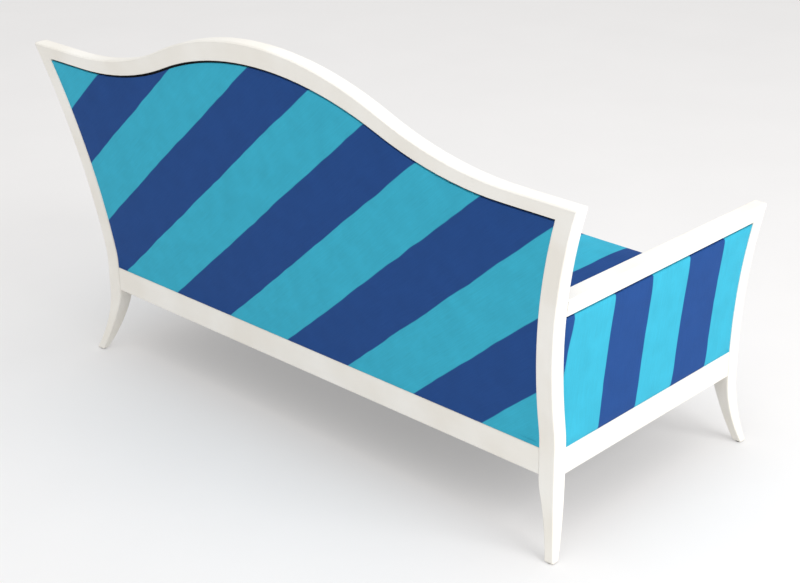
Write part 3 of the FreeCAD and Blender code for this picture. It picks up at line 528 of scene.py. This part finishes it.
# %% Seat deck
deck = stuffed("seat_deck_stuffing", "seat_deck", voxel=14 * MM, shrink=0.3 * MM, smooth=1, pressure=3.0,
               cap=2 * MM)

# The deck's front border is pulled down over the ends of the webbing, as far as the front rail
border_depth, border_height = 60 * MM, 25 * MM
deck_points = points_of(deck)
low = deck_points.min(axis=0)
on_border = (deck_points[:, 1] < low[1] + border_depth) & (deck_points[:, 2] < low[2] + border_height)
deck_points[on_border, 2] -= low[2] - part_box("front_seat_rail")[1].z
move_points(deck, deck_points)
finish_pad(deck, "seat_deck", "frame", seat_cotton)

# %% Bench cushion
cushion = stuffed("bench_cushion", "seat_cushion", voxel=13 * MM, shrink=1 * MM, smooth=2, pressure=4.0,
                  cap=10 * MM)

# The front roll is stuffed fuller: it swells forward and up, most at the very front. At the rear the
# top leans back a little, against the raked back.
roll_depth, roll_swell, roll_rise, rear_lean = 130 * MM, 13 * MM, 6 * MM, 9 * MM
late_swell = 1.5    # over 1: the swelling grows faster towards the edge
cushion_points = points_of(cushion)
low, high = cushion_points.min(axis=0), cushion_points.max(axis=0)
share_up = (cushion_points[:, 2] - low[2]) / (high[2] - low[2])
into_roll = np.clip((low[1] + roll_depth - cushion_points[:, 1]) / roll_depth, 0, 1) ** late_swell
into_rear = np.clip((cushion_points[:, 1] - high[1] + roll_depth) / roll_depth, 0, 1) ** late_swell
cushion_points[:, 1] += rear_lean * into_rear * share_up - roll_swell * into_roll
cushion_points[:, 2] += roll_rise * into_roll * share_up
move_points(cushion, cushion_points)
finish_pad(cushion, "seat_cushion", "cushion", seat_cotton)

# %% [markdown]
# ## Floor, light and camera
# The photograph was taken on a pale studio floor under broad soft light, with more of it from the
# arm's side. The camera stands behind the settee, above the crest, and looks down on it.

# %% Floor
bpy.ops.object.select_all(action="DESELECT")
bpy.ops.mesh.primitive_plane_add(size=40, location=(0, 0, 0))
floor = bpy.context.active_object
floor.name = "studio_floor"
floor_paint, floor_output = new_material("pale_studio_floor")
floor_place = add(floor_paint, "TexCoord").outputs["Object"]
scuff_size = 350 * MM
scuffs = add(floor_paint, "TexNoise", {"Vector": floor_place, "Scale": 1 / scuff_size, "Detail": 3.0})
floor_tone = add(floor_paint, "ValToRGB", {"Fac": scuffs.outputs["Fac"]})
floor_tone.color_ramp.elements[0].color = paint("C5C4C4")
floor_tone.color_ramp.elements[1].color = paint("CAC9C9")
floor_shader = add(floor_paint, "BsdfPrincipled", {
    "Base Color": floor_tone.outputs["Color"], "Roughness": 0.9, "Specular IOR Level": 0.1,
    "Emission Color": paint("FFFEFD"), "Emission Strength": 0.31})
floor_paint.node_tree.links.new(floor_shader.outputs["BSDF"], floor_output.inputs["Surface"])
dress(floor, floor_paint)
print("floor:", floor.name)


# %% Light
def soft_light(name, place, target, size, power):
    """Large square lamp at a place, facing a target."""
    bpy.ops.object.light_add(type="AREA", location=place)
    lamp = bpy.context.active_object
    lamp.name = name
    lamp.data.size = size
    lamp.data.energy = power
    lamp.rotation_mode = "QUATERNION"
    lamp.rotation_quaternion = (Vector(target) - Vector(place)).to_track_quat("-Z", "Y")
    return lamp


seat_middle = (0, 0, 0.5)
soft_light("arm_side_light", (-5.0, -0.5, 3.0), seat_middle, size=3.0, power=150)
soft_light("ceiling_light", (-1.2, 0.9, 5.0), seat_middle, size=5.0, power=95)
studio = bpy.data.worlds.new("studio")
studio.use_nodes = True
studio.node_tree.nodes["Background"].inputs["Color"].default_value = paint("FCFBFA")
studio.node_tree.nodes["Background"].inputs["Strength"].default_value = 0.72
bpy.context.scene.world = studio
bpy.context.scene.view_settings.view_transform = "Standard"

# %% Camera
# Where the photographer stood: metres to the arm's side, behind the rear rail and above the floor
TO_THE_SIDE, BEHIND, ABOVE = 2.8893, 2.6717, 2.1914
YAW, PITCH, ROLL = (math.radians(angle) for angle in (43.724, 24.311, -0.675))
PHOTO_WIDTH, FOCAL_LENGTH = 800, 1719.2    # in pixels of the photograph
ahead = Vector((math.sin(YAW) * math.cos(PITCH), -math.cos(YAW) * math.cos(PITCH), -math.sin(PITCH)))
level_right = ahead.cross(Vector((0, 0, 1))).normalized()
level_up = level_right.cross(ahead)
right = math.cos(ROLL) * level_right + math.sin(ROLL) * level_up
up = -math.sin(ROLL) * level_right + math.cos(ROLL) * level_up
bpy.ops.object.camera_add()
camera = bpy.context.active_object
camera.name = "photograph_view"
camera.data.sensor_width = 36
camera.data.lens = camera.data.sensor_width * FOCAL_LENGTH / PHOTO_WIDTH
turn = Matrix((right, up, -ahead)).transposed().to_4x4()
camera.matrix_world = Matrix.Translation((-TO_THE_SIDE, rear_rail_y + BEHIND, ABOVE)) @ turn
bpy.context.scene.camera = camera
print("camera:", [round(x, 3) for x in camera.location], "lens", round(camera.data.lens, 2))
